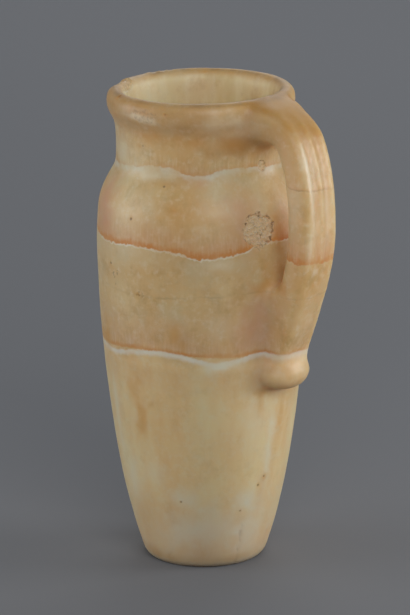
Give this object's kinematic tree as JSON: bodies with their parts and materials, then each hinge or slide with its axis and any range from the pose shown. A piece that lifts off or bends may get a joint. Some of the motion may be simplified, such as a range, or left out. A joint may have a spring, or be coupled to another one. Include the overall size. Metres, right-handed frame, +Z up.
{
  "type": "pitcher",
  "caption": "Slender stone pitcher with a tapering hollow body, a rolled rim and a ribbed strap handle that ends in a roll; it holds and pours liquid.",
  "frame": {"origin": "middle of the flat foot that the pitcher stands on", "axes": "+Z up along the body's axis, +X from the axis towards the handle"},
  "size_m": [0.1287, 0.1048, 0.2404],
  "materials": {
    "alabaster": "worn polish, translucent, banded honey and cream"
  },
  "bodies": {
    "root": {"pitcher": "alabaster"}
  },
  "joints": []
}
